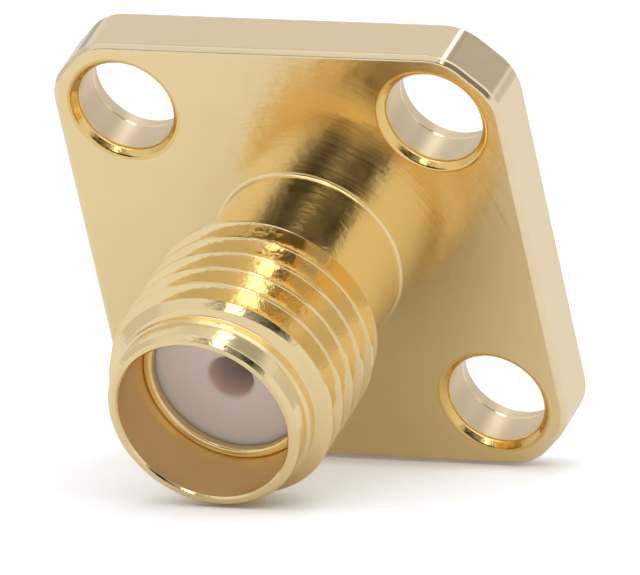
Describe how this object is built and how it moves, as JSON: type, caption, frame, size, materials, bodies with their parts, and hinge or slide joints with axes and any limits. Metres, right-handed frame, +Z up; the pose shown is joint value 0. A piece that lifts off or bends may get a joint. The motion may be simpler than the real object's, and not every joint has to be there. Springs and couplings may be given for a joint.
{
  "type": "flange mount coaxial jack",
  "caption": "Threaded coaxial jack on a square flange with corner holes, a white insulator in its bore and a slotted centre socket.",
  "frame": {"origin": "centre of the flange's rear mounting face", "axes": "-Y along the barrel towards its nose, +Y out of the rear, +Z up, flange edges along X and Z"},
  "size_m": [0.0126, 0.0125, 0.0126],
  "materials": {
    "gold_plate": "gold plate over turned brass, satin flange face and polished barrel",
    "insulator": "white fluoropolymer, slightly waxy",
    "contact_plate": "polished gold plate"
  },
  "bodies": {
    "root": {"connector_body": "gold_plate", "dielectric": "insulator", "centre_contact": "contact_plate"}
  },
  "joints": []
}
